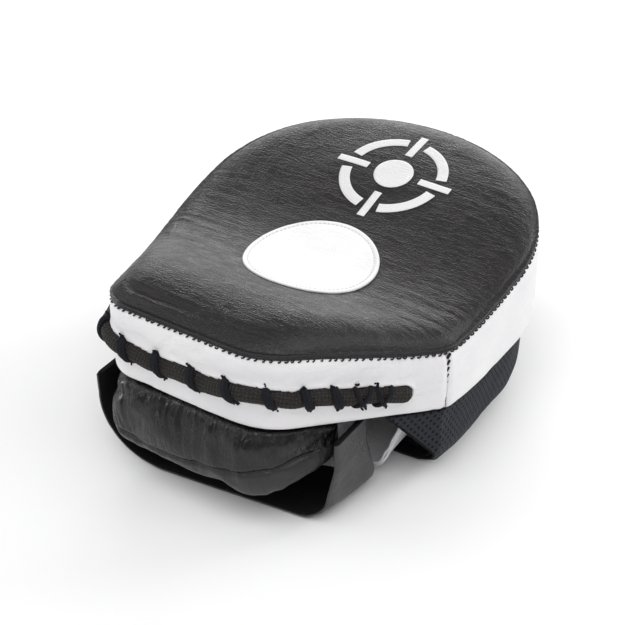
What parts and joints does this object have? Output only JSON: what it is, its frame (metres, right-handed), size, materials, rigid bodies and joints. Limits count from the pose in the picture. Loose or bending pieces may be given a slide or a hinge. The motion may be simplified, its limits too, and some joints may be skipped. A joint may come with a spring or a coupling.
{
  "type": "focus mitt",
  "caption": "Curved focus mitt for boxing practice: padded striking face on a laced pad, with a finger hood, thumb hood, wrist cushion and wrist strap behind it.",
  "frame": {"origin": "middle of the footprint, on the surface that the mitt rests on", "axes": "+Y along the length of the pad to the fingertips, +X to the thumb side, +Z out of the striking face"},
  "size_m": [0.194, 0.2342, 0.1219],
  "materials": {
    "black_leather": "pebbled black leather, satin",
    "white_leather": "smooth white leather, satin",
    "gloss_leather": "glossy black leather",
    "welt_leather": "glossy black leather edge",
    "foam": "closed-cell foam",
    "mesh": "black air mesh",
    "lining": "matt black brushed lining",
    "cord": "braided polyester cord",
    "thread": "waxed black thread",
    "hook_tape": "hook tape",
    "loop_tape": "loop tape"
  },
  "bodies": {
    "mitt": {"face_cover": "black_leather", "face_welt": "welt_leather", "target_patch": "white_leather", "foam_face": "foam", "wrist_wall": "white_leather", "head_wall": "white_leather", "side_seam_stitches": "thread", "lacing_cord": "cord", "lacing_stitches": "thread", "foam_core": "foam", "foam_back": "foam", "back_panel": "black_leather", "back_welt": "white_leather", "cushion_upper": "gloss_leather", "cushion_lower": "gloss_leather", "cushion_foam": "foam", "cushion_welt": "thread", "palm_grip_cover": "black_leather", "palm_grip_foam": "foam", "finger_hood": "mesh", "finger_hood_hem": "lining", "thumb_hood": "white_leather", "thumb_hood_binding": "lining", "strap_root_outer": "black_leather", "strap_root_lining": "lining", "loop_patch": "loop_tape", "strap_anchor": "black_leather"},
    "strap": {"strap_outer": "black_leather", "strap_lining": "lining"},
    "strap_end": {"strap_end_outer": "black_leather", "strap_end_lining": "lining", "hook_patch": "hook_tape"}
  },
  "joints": [
    {"name": "strap_swing", "type": "hinge", "parent": "mitt", "child": "strap", "pos_m": [0.0445, -0.08, 0.0015], "axis": [0, -1, 0], "range_deg": [0, 100]},
    {"name": "strap_end_peel", "type": "hinge", "parent": "strap", "child": "strap_end", "pos_m": [-0.0402, -0.08, 0.0015], "axis": [0, -1, 0], "range_deg": [0, 90]}
  ]
}
